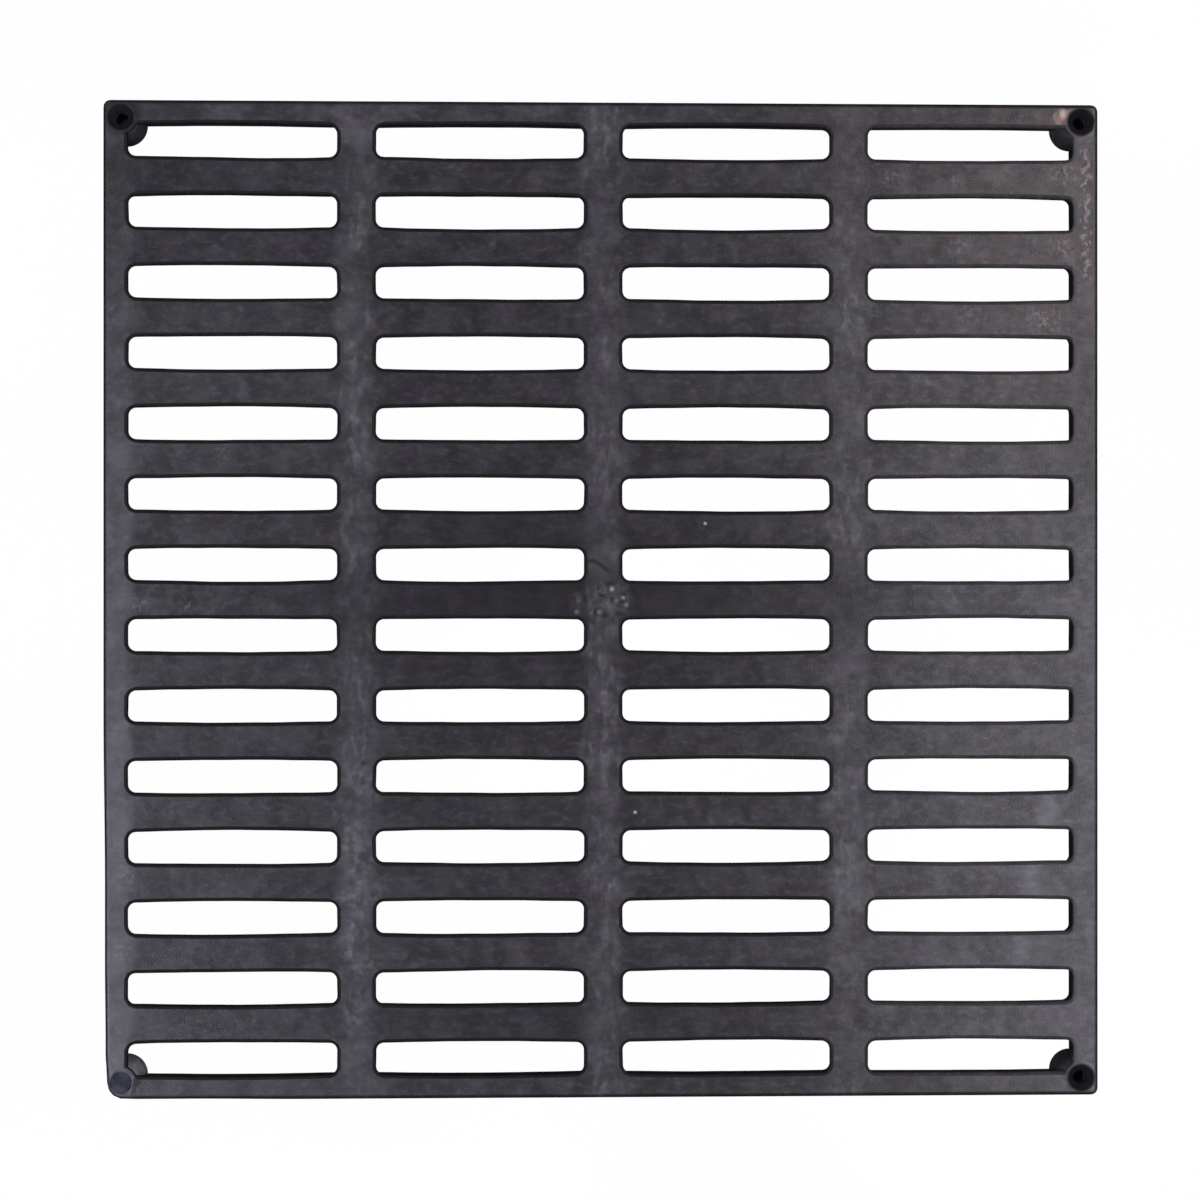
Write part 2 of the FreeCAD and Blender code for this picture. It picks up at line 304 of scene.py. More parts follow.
SCARS = [(1.3, -0.3, 6.5, 6.1, 1.0), (-6.9, -1.2, 2.7, 3.4, 0.35)]      # middle, half sizes and depth of the rough patches
PITS = [(0.4, -4.3, 1.0, 0.62), (-2.5, -3.1, 0.50, 0.75), (5.8, 1.9, 0.80, 0.65), (5.3, -0.5, 0.75, 0.45), (2.4, 0.1, 0.6, 0.5),
        (4.7, -3.9, 1.2, 0.6), (1.7, 4.7, 1.6, 0.7), (-1.4, 3.3, 0.6, 0.6), (-0.6, 1.4, 1.1, 0.45),
        (-8.7, 0.5, 0.9, 0.6), (-5.3, 0.5, 0.6, 1.2), (-8.4, -2.5, 0.9, 0.5), (-6.1, -2.8, 0.6, 0.5)]
GLINTS = [(2.45, 3.2, 0.62, 1.0), (5.65, 0.65, 0.55, 0.7), (6.5, -1.4, 0.60, 0.45), (3.7, -0.2, 0.6, 0.30),
          (-1.2, -3.5, 0.55, 0.45), (-7.7, -3.4, 0.60, 0.45), (-7.2, 0.1, 0.9, 0.20), (0.9, -1.0, 1.4, 0.12), (2.5, -1.95, 1.4, 0.10)]
FLOW = (11.15, 2.8, -3.2, 2.2)      # height of its left end, drop, and where the drop begins and ends


def near_scar(x, y):
    return (abs(x + 0.6) < 11.5 and abs(y + 0.4) < 6.5) or (abs(x) < 6.5 and -7.0 < y < 14.0)


fine = []
for f in bm.faces:
    c = f.calc_center_median() / MM
    if f.normal.z > 0.9 and c.z > DEPTH - 0.001 and near_scar(c.x, c.y):
        fine.append(f)
edges = list({e for f in fine for e in f.edges})
bmesh.ops.subdivide_edges(bm, edges=edges, cuts=6, use_grid_fill=True)

P = np.array([v.co[:] for v in bm.verts]) / MM
x, y, z = P[:, 0], P[:, 1], P[:, 2]
up = np.clip((z - 12.0) / 8.0, 0.0, 1.0)
rib_d = np.minimum(np.abs(x), np.abs(np.abs(x) - PX))
bar_d = np.abs(y - PY * np.round(y / PY))
sink = np.exp(-(rib_d / 4.0) ** 2 - (bar_d / 4.0) ** 2)
dz = -0.045 * (1.0 + np.clip(waves(WAVE_Z, x, y) / 2.2, -1.0, 1.0)) - 0.06 * sink
rough = np.zeros_like(x)
for cx, cy, rx, ry, deep in SCARS:
    d = np.hypot((x - cx) / rx, (y - cy) / ry) + 0.07 * waves(SCAR_A, x, y)
    rough = np.maximum(rough, deep * np.clip((1.20 - d) / 0.50, 0.0, 1.0))
flat = (z > DEPTH - 0.001)
lumps = -0.10 + 0.030 * waves(SCAR_A, x, y) + 0.008 * waves(SCAR_B, x, y)
for cx, cy, rx, ry in PITS:
    lumps -= 0.11 * np.exp(-1.4 * (((x - cx) / rx) ** 2 + ((y - cy) / ry) ** 2))
for cx, cy, r, _ in GLINTS:
    lumps += 0.07 * np.exp(-1.4 * ((x - cx) ** 2 + (y - cy) ** 2) / r ** 2)
scar_dz = rough * np.clip(lumps, -0.45, 0.0)
t = np.clip((x - FLOW[2]) / (FLOW[3] - FLOW[2]), 0.0, 1.0)
line_y = FLOW[0] - FLOW[1] * t * t * (3.0 - 2.0 * t)
line = np.exp(-((y - line_y) / 0.36) ** 2) * np.clip((x + 4.3) / 0.7, 0, 1) * np.clip((2.6 - x) / 2.6, 0, 1)
dz = dz * up + np.where(flat, scar_dz - 0.035 * line, 0.0)
dz[z < 1.0] = 0.0
for i, v in enumerate(bm.verts):
    v.co.z += float(dz[i]) * MM
bm.normal_update()
bm.to_mesh(mesh)
bm.free()
skin = bpy.data.objects.new("grate_skin", mesh)
scene.collection.objects.link(skin)


# ------------------------------------------------------------------ corner bosses and countersunk holes
def keep_in(px, py, h):
    """Pulls a point just inside the panel's outline, and inside its rounded top edge."""
    lift = min(max(h - (DEPTH - RIM), 0.0), RIM)
    gap = 0.05 + RIM - math.sqrt(RIM * RIM - lift * lift)
    sx, sy = (1 if px > 0 else -1), (1 if py > 0 else -1)
    worn = sx < 0 and sy < 0
    px, py = (min(abs(px), HALF - gap - (worn_left(py) if worn else 0.0)),
              min(abs(py), HALF - gap - (worn_below(px) if worn else 0.0)))
    r = CORNER_R[(sx, sy)]
    u, v = px - (HALF - r), py - (HALF - r)
    if u > 0 and v > 0 and corner_size(u, v, worn) > r - gap:
        f = (r - gap) / corner_size(u, v, worn)
        px, py = HALF - r + u * f, HALF - r + v * f
    return sx * px, sy * py


def lathe(name, seats, held=False, steps=72):
    """A closed turned solid at each seat, from (radius, height) pairs running upward."""
    vs, fs = [], []
    for cx, cy, profile in seats:
        base = len(vs)
        for r, h in profile:
            for k in range(steps):
                th = 2 * math.pi * (k + 0.5) / steps
                px, py = cx + r * math.cos(th), cy + r * math.sin(th)
                if held:
                    px, py = keep_in(px, py, h)
                vs.append((px * MM, py * MM, h * MM))
        for i in range(len(profile) - 1):
            for k in range(steps):
                kn = (k + 1) % steps
                fs.append((base + i * steps + k, base + i * steps + kn, base + (i + 1) * steps + kn, base + (i + 1) * steps + k))
        fs.append(tuple(base + k for k in reversed(range(steps))))
        last = base + (len(profile) - 1) * steps
        fs.append(tuple(last + k for k in range(steps)))
    me = bpy.data.meshes.new(name)
    me.from_pydata(vs, [], fs)
    ob = bpy.data.objects.new(name, me)
    scene.collection.objects.link(ob)
    return ob


SEATS = [(sx * HOLE_AT, sy * HOLE_AT) for sx in (-1, 1) for sy in (-1, 1)]
ease = 0.5
boss_top = BOSS_FOOT - (DEPTH - ease) * BOSS_LEAN
boss_profile = [(BOSS_FOOT - 0.2, 0.012), (BOSS_FOOT - 0.2 * BOSS_LEAN, 0.212), (BOSS_FOOT - 7 * BOSS_LEAN, 7.0), (BOSS_FOOT - 14 * BOSS_LEAN, 14.0)]
for k in range(5):
    th = math.radians(90.0 * k / 4)
    boss_profile.append((boss_top - ease + ease * math.cos(th), DEPTH - 0.03 - ease + ease * math.sin(th)))
boss_tool = lathe("boss_tool", [(cx, cy, boss_profile) for cx, cy in SEATS], held=True)
sink_z = DEPTH - (SINK_R - BORE_R)
mouth = [(SINK_R - 0.12, DEPTH - 0.12), (SINK_R + 0.02, DEPTH - 0.02), (SINK_R + 0.14, DEPTH + 0.05), (SINK_R + 0.14, DEPTH + 1.0)]
bore = [(BORE_R + 0.25, -1.0), (BORE_R + 0.25, 0.0), (BORE_R, 0.25), (BORE_R, 9.0)]
tools = []
for cx, cy in SEATS:
    if cx < 0 and cy < 0:
        # the lower left hole is choked with dirt, a little below the top
        tools.append((cx, cy, bore + [(BORE_R, 16.2), (1.2, 16.6)]))
        tools.append((cx, cy, [(0.8, DEPTH - 0.80), (1.8, DEPTH - 0.72), (2.6, DEPTH - 0.48), (3.05, DEPTH - 0.13), (3.2, DEPTH - 0.02),
                               (3.3, DEPTH + 0.05), (3.3, DEPTH + 1.0)]))
    else:
        tools.append((cx, cy, bore + [(BORE_R, sink_z)] + mouth))
hole_tool = lathe("hole_tool", tools)
for tool, how in ((boss_tool, "UNION"), (hole_tool, "DIFFERENCE")):
    cut = skin.modifiers.new(tool.name, "BOOLEAN")
    cut.operation = how
    cut.object = tool
    cut.solver = "MANIFOLD"
bpy.context.view_layer.update()
made = bpy.data.meshes.new_from_object(skin.evaluated_get(bpy.context.evaluated_depsgraph_get()))
skin.modifiers.clear()
before = skin.data
skin.data = made
bpy.data.meshes.remove(before)
made.name = "grate_skin"
for tool in (boss_tool, hole_tool):
    data = tool.data
    bpy.data.objects.remove(tool)
    bpy.data.meshes.remove(data)

bm = bmesh.new()
bm.from_mesh(made)
print("verts", len(bm.verts), "faces", len(bm.faces), "open edges", sum(len(e.link_faces) != 2 for e in bm.edges))
bm.to_mesh(made)
bm.free()
made.calc_loop_triangles()
print("triangles", len(made.loop_triangles))
made.shade_smooth()
made.set_sharp_from_angle(angle=math.radians(38))

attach(skin, "root")
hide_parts("grate")


# ------------------------------------------------------------------ node helpers; lengths in the materials are millimetres
class Nodes:
    def __init__(self, tree):
        self.t = tree
        self.here = None

    def new(self, kind, **props):
        n = self.t.nodes.new(kind)
        for k, v in props.items():
            setattr(n, k, v)
        return n

    def put(self, socket, value):
        if isinstance(value, bpy.types.NodeSocket):
            self.t.links.new(value, socket)
        elif socket.type == "RGBA" and len(value) == 3:
            socket.default_value = (*value, 1.0)
        else:
            socket.default_value = value

    def math(self, op, *args, clamp=False):
        n = self.new("ShaderNodeMath", operation=op, use_clamp=clamp)
        for s, a in zip(n.inputs, args):
            self.put(s, a)
        return n.outputs[0]

    def add(self, *terms):
        total = terms[0]
        for t in terms[1:]:
            total = self.math("ADD", total, t)
        return total

    def mul(self, *terms):
        total = terms[0]
        for t in terms[1:]:
            total = self.math("MULTIPLY", total, t)
        return total

    def smooth(self, v, lo, hi, to_lo=0.0, to_hi=1.0):
        n = self.new("ShaderNodeMapRange", interpolation_type="SMOOTHSTEP", clamp=True)
        for s, a in zip(n.inputs[:5], (v, lo, hi, to_lo, to_hi)):
            self.put(s, a)
        return n.outputs[0]

    def place(self, scale=(1, 1, 1), move=(0, 0, 0)):
        n = self.new("ShaderNodeVectorMath", operation="MULTIPLY_ADD")
        self.put(n.inputs[0], self.here)
        n.inputs[1].default_value = scale
        n.inputs[2].default_value = move
        return n.outputs[0]

    def noise(self, size, seed, detail=2.0, rough=0.5, stretch=(1, 1, 1), bend=0.0, dims="2D"):
        """Fractal noise with features of about this size, on the plan or in space."""
        at = self.place([1.0 / (size * k) for k in stretch], (seed * 17.3, seed * -9.1, seed * 5.7))
        n = self.new("ShaderNodeTexNoise", noise_dimensions=dims)
        self.put(n.inputs["Vector"], at)
        n.inputs["Scale"].default_value = 1.0
        n.inputs["Detail"].default_value = detail
        n.inputs["Roughness"].default_value = rough
        n.inputs["Distortion"].default_value = bend
        return n.outputs["Fac"]

    def spot(self, cx, cy, rx, ry, soft=0.35):
        """1 inside an upright ellipse on the plan, 0 outside."""
        at = self.place((1.0 / rx, 1.0 / ry, 0.0), (-cx / rx, -cy / ry, 0.0))
        n = self.new("ShaderNodeVectorMath", operation="LENGTH")
        self.put(n.inputs[0], at)
        return self.smooth(n.outputs["Value"], 1.0 + soft, 1.0 - soft)

    def mix(self, fac, a, b):
        n = self.new("ShaderNodeMix", data_type="RGBA")
        self.put(n.inputs[0], fac)
        self.put(n.inputs[6], a)
        self.put(n.inputs[7], b)
        return n.outputs[2]


def start(name):
    m = bpy.data.materials.new(name)
    m.use_nodes = True
    nt = Nodes(m.node_tree)
    where = nt.new("ShaderNodeTexCoord")
    mm = nt.new("ShaderNodeVectorMath", operation="SCALE")
    nt.put(mm.inputs[0], where.outputs["Object"])
    mm.inputs["Scale"].default_value = 1000.0
    nt.here = mm.outputs[0]
    return m, nt, m.node_tree.nodes["Principled BSDF"]


# ------------------------------------------------------------------ black moulded plastic, dusty and scuffed
# dark bare plastic: the walls' own colour, and the colour that painted shade darkens the top's edges toward
DARK_PLASTIC = ((0.0060, 0.0060, 0.0068), (0.0115, 0.0112, 0.0124))


def plastic(kind):
    """One plastic in its several states: the top, its sprue scar, its scuffed corner, rounded slot edges, walls, and holes."""
    m, n, bsdf = start("moulded_plastic_" + kind)
    bsdf.inputs["IOR"].default_value = 1.49
    bsdf.inputs["Specular IOR Level"].default_value = {"edge": 0.16, "bore": 0.10, "dirt": 0.20}.get(kind, 0.5)
    bump = n.new("ShaderNodeBump")
    bump.inputs["Strength"].default_value = 1.0
    bump.inputs["Distance"].default_value = 0.001
    n.put(bsdf.inputs["Normal"], bump.outputs[0])

    axes = n.new("ShaderNodeSeparateXYZ")
    n.put(axes.inputs[0], n.here)
    X, Y = axes.outputs[0], axes.outputs[1]

    if kind in ("wall", "edge", "bore", "dirt", "side"):
        cloud = n.smooth(n.noise(8.0, 2.0, 2.0, 0.6, dims="3D"), 0.38, 0.72)
        drag = n.smooth(n.noise(1.6, 3.0, 1.0, 0.5, stretch=(1, 1, 7), dims="3D"), 0.40, 0.70)
        both = n.add(n.mul(cloud, 0.6), n.mul(drag, 0.4))
        if kind == "dirt":
            colour = n.mix(n.smooth(n.noise(3.2, 6.0, 2.0), 0.34, 0.68), (0.026, 0.029, 0.041), (0.052, 0.056, 0.076))
        elif kind == "side":
            # outside walls and underside: dark grey, with pale rubbed places along their edges
            low, high = n.smooth(axes.outputs[2], 3.2, 0.2), n.smooth(axes.outputs[2], 16.8, 19.2)
            rubbed = n.mul(n.math("MAXIMUM", low, high), n.smooth(n.noise(2.2, 9.0, 2.0, 0.6, stretch=(1, 1, 0.6), dims="3D"), 0.46, 0.72))
            colour = n.mix(both, (0.0135, 0.0132, 0.0150), (0.0400, 0.0390, 0.0425))
            colour = n.mix(n.mul(rubbed, 0.45), colour, (0.115, 0.112, 0.116))
        elif kind == "bore":
            colour = n.mix(both, (0.0075, 0.0068, 0.0090), (0.0150, 0.0138, 0.0170))
            # painted light: the bore wall grows paler lower down, where little light reaches
            colour = n.mix(n.smooth(axes.outputs[2], 18.5, 7.0), colour, n.mix(both, (0.20, 0.18, 0.22), (0.34, 0.31, 0.37)))
        else:
            colour = n.mix(both, *DARK_PLASTIC)
        if kind == "edge":
            # the rounded slot edges are bare dark plastic with little specular, a painted shade; the right hand
            # column's edges are paler, partly dust and partly painted sheen, and palest at the slot ends beside the
            # right rim
            colour = n.mix(n.mul(n.smooth(X, 50.0, 100.0), n.math("MULTIPLY_ADD", both, 0.6, 0.5)), colour, (0.046, 0.044, 0.047))
            colour = n.mix(n.mul(n.smooth(X, 134.9, 135.5), 0.8), colour, (0.100, 0.096, 0.100))
        if kind == "wall":
            # painted light on the flanks of the corner bosses, which the lamps barely reach, most of all on the lower
            # left one
            fx, fy = (n.math("SUBTRACT", n.math("ABSOLUTE", c), HOLE_AT) for c in (X, Y))
            lit_flank = n.smooth(n.math("SQRT", n.add(n.mul(fx, fx), n.mul(fy, fy))), 6.6, 6.0)
            lit_flank = n.mul(lit_flank, n.smooth(n.math("MAXIMUM", fx, fy), HALF - HOLE_AT - 0.2, HALF - HOLE_AT - 0.9))
            low_left = n.mul(n.smooth(X, -100.0, -120.0), n.smooth(Y, -100.0, -120.0))
            colour = n.mix(n.mul(lit_flank, n.math("MULTIPLY_ADD", both, 0.5, 0.5)), colour, n.mix(low_left, (0.115, 0.108, 0.122), (0.520, 0.515, 0.520)))
        n.put(bsdf.inputs["Base Color"], colour)
        n.put(bsdf.inputs["Roughness"], n.add({"wall": 0.48, "edge": 0.52, "side": 0.40}.get(kind, 0.75), n.mul(cloud, 0.12), n.mul(drag, 0.06)))
        n.put(bump.inputs["Height"], n.add(n.mul(n.noise(0.6, 17.0, 1.0, 0.6, dims="3D"), 0.02), n.mul(drag, 0.01)))
        return m

    way = n.new("ShaderNodeNewGeometry")
    turn = n.new("ShaderNodeSeparateXYZ")
    n.put(turn.inputs[0], way.outputs["Normal"])
    steep = n.smooth(turn.outputs[2], 0.990, 0.78)          # 0 on the flat top, 1 on rounded edges

    # where the dust lies: in clouds on the ribs between the columns, on the rims, and as a wispy film over the bars;
    # painted sheen adds to it on the right hand columns, and painted shade thins it in the middle and to the upper left
    abs_x = n.math("ABSOLUTE", X)
    to_rib = n.math("MINIMUM", abs_x, n.math("ABSOLUTE", n.math("SUBTRACT", abs_x, PX)))
    to_bar = n.math("PINGPONG", Y, PY / 2)
    abs_y = n.math("ABSOLUTE", Y)
    from_rim = n.math("SUBTRACT", HALF, n.math("MAXIMUM", abs_x, abs_y))
    hx, hy = (n.math("SUBTRACT", c, HOLE_AT) for c in (abs_x, abs_y))
    from_bore = n.math("SQRT", n.add(n.mul(hx, hx), n.mul(hy, hy)))
    drift = n.noise(7.0, 1.0, 2.0)
    rib = n.smooth(n.add(to_rib, n.mul(n.smooth(to_bar, 5.5, 0.5), -0.8), n.math("MULTIPLY_ADD", drift, 7.0, -3.5)), 7.4, 1.2)
    left_rim = n.smooth(X, -132.0, -137.5)
    right_rim = n.smooth(X, 128.0, 135.0)
    right = n.smooth(X, 45.0, 110.0)
    # painted shade: the dust film is thinned in the middle and toward the upper left to darken them; it is thinner at a
    # few other spots too
    less_dust_and_shade = n.math("MINIMUM", n.add(
        n.mul(n.smooth(X, -70.0, -140.0), n.smooth(Y, 60.0, 138.0), 0.35),
        n.mul(n.spot(-10.0, 1.0, 60.0, 19.0, 0.8), 0.56),
        n.mul(n.spot(-22.0, 2.0, 76.0, 92.0, 0.7), 0.30),
        n.mul(n.spot(-8.0, -120.5, 62.0, 9.0, 0.6), 0.36),
        n.mul(n.spot(139.0, 52.0, 7.0, 26.0, 0.6), 0.55),
        n.mul(n.spot(139.0, 111.0, 6.0, 16.0, 0.6), 0.38),
        n.mul(n.spot(71.0, 0.0, 9.0, 8.0, 0.7), 0.40),
        n.mul(n.spot(98.0, -139.5, 36.0, 5.0, 0.5), 0.55)), 0.92)

    haze = n.smooth(n.noise(9.0, 2.0, 2.0, 0.55, bend=0.3), 0.34, 0.70)
    wisp = n.smooth(n.noise(2.6, 3.0, 2.0, 0.60, stretch=(1.7, 0.9, 1.0), bend=0.3), 0.38, 0.74)
    smear = n.smooth(n.noise(3.0, 21.0, 1.0, 0.55, stretch=(0.8, 1.8, 1.0), bend=0.3), 0.38, 0.72)
    streak = n.smooth(n.noise(1.6, 22.0, 1.0, 0.50, stretch=(1.5, 0.9, 1.0), bend=0.4), 0.56, 0.80)
    grit = n.noise(1.9, 4.0, 1.0, 0.5)
    crumb = n.smooth(grit, 0.46, 0.74)
    patches = n.smooth(n.noise(17.0, 5.0, 1.0, 0.5), 0.40, 0.62)

    rib_clean = n.math("SUBTRACT", 1.0, n.math("MINIMUM", n.add(
        n.mul(n.spot(71.0, 121.0, 10.0, 13.0, 0.6), 0.75), n.mul(n.spot(71.0, -122.0, 10.0, 13.0, 0.6), 0.80), n.mul(n.spot(71.0, -3.0, 11.0, 16.0, 0.6), 0.75), n.mul(n.spot(0.0, -60.5, 10.0, 6.5, 0.6), 0.50),
        n.mul(n.spot(0.0, 0.0, 7.0, 6.0, 0.6), 0.45), n.mul(n.spot(71.0, -60.5, 9.0, 6.5, 0.6), 0.30),
        n.mul(n.spot(-70.0, -10.0, 10.0, 10.0, 0.6), 0.45), n.mul(n.spot(0.0, 113.0, 9.0, 14.0, 0.6), 0.35)), 0.85))
    film = n.add(0.068, n.mul(haze, 0.085), n.mul(wisp, 0.055), n.mul(wisp, crumb, 0.08), n.mul(streak, 0.10))
    dust_and_painted_light = n.add(
        n.mul(film, n.math("SUBTRACT", 1.0, less_dust_and_shade)),
        n.mul(rib, rib_clean, n.add(0.062, n.mul(haze, 0.05), n.mul(smear, 0.06), n.mul(patches, n.add(0.03, n.mul(smear, 0.12), n.mul(smear, crumb, 0.16))))),
        n.mul(n.spot(0.0, 10.5, 5.6, 4.6, 0.5), 0.13),
        n.mul(n.spot(0.0, 54.0, 7.0, 24.0, 0.6), 0.05),
        n.mul(n.spot(-70.0, -66.0, 7.5, 20.0, 0.6), 0.03),
        n.mul(n.spot(-105.0, -139.0, 38.0, 4.5, 0.6), 0.05),
        n.mul(n.spot(36.0, 60.4, 32.0, 8.0, 0.7), 0.035),
        n.mul(n.spot(-70.0, 121.0, 7.5, 9.0, 0.6), 0.045),
        n.mul(n.spot(-105.0, 58.0, 36.0, 30.0, 0.8), 0.06),
        n.mul(left_rim, n.smooth(Y, 135.0, -40.0, 0.20, 1.0), n.add(0.24, n.mul(haze, 0.14), n.mul(crumb, 0.06))),
        n.mul(right_rim, n.add(0.01, n.mul(wisp, 0.09))),
        n.mul(n.smooth(Y, 127.0, 134.0), n.smooth(X, 70.0, -80.0), n.add(0.07, n.mul(haze, 0.09))),
        # the right hand columns paler: partly dust, partly painted sheen
        n.mul(right, n.math("SUBTRACT", 1.0, n.math("MINIMUM", n.add(n.mul(n.spot(139.0, 52.0, 9.0, 24.0, 0.6), 0.6), n.mul(n.spot(98.0, 139.5, 34.0, 6.0, 0.5), 0.8)), 0.85)),
              n.add(0.068, n.mul(n.smooth(Y, 0.0, -80.0), 0.035), n.mul(haze, 0.06), n.mul(wisp, 0.04), n.mul(streak, 0.05))),
    )

    # coarse pale grains on the lower half of the left rib, and small dry marks here and there on the bars
    grain = n.smooth(n.noise(1.5, 31.0, 1.0, 0.5), 0.45, 0.70)
    lumps = n.smooth(n.noise(2.9, 32.0, 1.0, 0.6), 0.46, 0.66)
    cluster = n.smooth(n.noise(10.0, 33.0, 1.0, 0.5), 0.42, 0.60, 0.25, 1.0)
    coarse = n.mul(n.spot(-70.0, -84.0, 7.0, 44.0, 0.5), cluster, lumps, 0.25)
    marks = n.add(*[n.mul(n.spot(cx, cy, rx, ry, 0.8), k) for cx, cy, rx, ry, k in MARKS])
    dust_and_painted_light = n.add(dust_and_painted_light, coarse, n.mul(grain, marks))

    # plastic colour with faint tints, then dust of a bluer tone low on the left and a browner one high on the right
    tint = n.smooth(n.noise(11.0, 8.0, 1.0), 0.38, 0.62)
    shade = n.mix(tint, (0.0088, 0.0066, 0.0104), (0.0064, 0.0078, 0.0084))
    shade = n.mix(n.smooth(drift, 0.54, 0.70), shade, (0.0120, 0.0080, 0.0098))
    low_left = n.mul(n.smooth(X, 40.0, -140.0), n.smooth(Y, 60.0, -130.0))
    high_right = n.mul(n.smooth(X, 20.0, 135.0), n.smooth(Y, 0.0, 110.0))
    tone = n.mix(tint, (0.153, 0.143, 0.158), (0.141, 0.147, 0.152))
    tone = n.mix(low_left, tone, (0.137, 0.137, 0.155))
    tone = n.mix(high_right, tone, (0.172, 0.145, 0.138))
    colour = n.mix(dust_and_painted_light, shade, tone)
    colour = n.mix(n.mul(n.smooth(drift, 0.38, 0.66), high_right, 0.36), colour, (0.062, 0.041, 0.037))
    rough = n.add(0.283, n.mul(haze, 0.02), n.mul(wisp, 0.02), n.mul(dust_and_painted_light, 0.12), n.mul(steep, 0.20))
    height = n.add(n.mul(n.noise(0.55, 17.0, 1.0, 0.6), 0.020), n.mul(n.noise(5.0, 18.0, 1.0), 0.06))

    # painted shade keeps the rounded edges, the outside and the mouths of the screw holes dark, and darkens round the
    # upper left hole; less at the lower left hole, which is filled
    filled = n.mul(n.smooth(X, -100.0, -120.0), n.smooth(Y, -100.0, -120.0))
    at_rim = n.mul(n.smooth(from_rim, 1.75, 0.55), n.smooth(abs_x, 140.3, 141.5, 0.85, 0.62))
    at_bore = n.mul(n.smooth(from_bore, 4.6, 3.7), n.math("MULTIPLY_ADD", filled, -0.7, 0.85))
    at_first = n.mul(n.spot(-137.5, 137.5, 6.0, 6.0, 0.30), 0.65)
    painted_shade_and_marks = n.math("MAXIMUM", n.math("MAXIMUM", n.mul(steep, 0.85), at_rim), n.math("MAXIMUM", at_bore, at_first))

    # two pale specks and a small dark spot
    colour = n.mix(n.add(n.spot(29.2, 21.9, 0.42, 0.4, 0.6), n.spot(9.1, -60.8, 0.46, 0.42, 0.6)), colour, (0.33, 0.33, 0.33))
    colour = n.mix(n.mul(n.spot(-68.5, -46.5, 0.7, 0.6, 0.6), 0.8), colour, (0.006, 0.006, 0.007))

    # pale smudges on four bars, along a slanting line low on the right
    pale = n.add(n.spot(127.7, -60.4, 2.9, 6.4, 0.7), n.mul(n.spot(122.6, -79.9, 3.0, 6.4, 0.8), 0.85),
                 n.mul(n.spot(120.0, -99.9, 1.9, 6.4, 0.8), 0.55), n.mul(n.spot(114.3, -118.3, 1.4, 6.4, 0.8), 0.30))
    colour = n.mix(n.mul(pale, n.math("MULTIPLY_ADD", wisp, 0.20, 0.34)), colour, (0.172, 0.168, 0.190))

    if kind == "scuffed":
        # pale scuffs along the right rim and on the bars' ends beside it
        zig = n.math("SINE", n.math("MULTIPLY_ADD", Y, 1.28, n.mul(n.noise(4.0, 11.0), 7.0)))
        off_line = n.math("ABSOLUTE", n.math("SUBTRACT", X, n.math("MULTIPLY_ADD", zig, 0.9, 138.9)))
        crumbs = n.smooth(n.noise(1.7, 12.0, 1.0, 0.5), 0.40, 0.62)
        scuff = n.mul(n.smooth(off_line, 1.6, 0.2), n.smooth(Y, 89.0, 96.0), n.smooth(Y, 133.0, 127.0), crumbs)
        ends = n.add(n.spot(132.5, 122.3, 3.6, 3.2, 0.5), n.spot(131.8, 101.5, 3.4, 2.6, 0.5), n.spot(126.5, 80.5, 4.4, 4.0, 0.6))
        scuff = n.math("MAXIMUM", n.mul(scuff, 0.62), n.mul(ends, n.smooth(n.noise(1.5, 13.0, 1.0, 0.5), 0.50, 0.68), 0.36))
        colour = n.mix(n.mul(scuff, 0.74), colour, (0.32, 0.262, 0.256))
        height = n.add(height, n.mul(scuff, 0.04))
        # ring-shaped stain beside the upper right hole
        at = n.place((1, 1, 0), (-132.0, -138.7, 0))
        reach = n.new("ShaderNodeVectorMath", operation="LENGTH")
        n.put(reach.inputs[0], at)
        from_ring = n.math("ADD", reach.outputs["Value"], n.math("MULTIPLY_ADD", n.noise(1.6, 14.0), 0.9, -2.5))
        ring = n.smooth(n.math("ABSOLUTE", from_ring), 0.95, 0.15)
        colour = n.mix(n.mul(ring, n.smooth(X, 134.0, 130.5, 0.35, 1.0), n.smooth(grit, 0.22, 0.56), 0.55), colour, (0.270, 0.205, 0.190))
        colour = n.mix(n.mul(n.spot(131.7, 138.2, 1.5, 1.1, 0.6), 0.75), colour, (0.260, 0.130, 0.100))
        colour = n.mix(n.mul(n.spot(132.3, 139.7, 0.85, 1.15, 0.8), 0.85), colour, (0.500, 0.400, 0.335))

    if kind == "sprue":
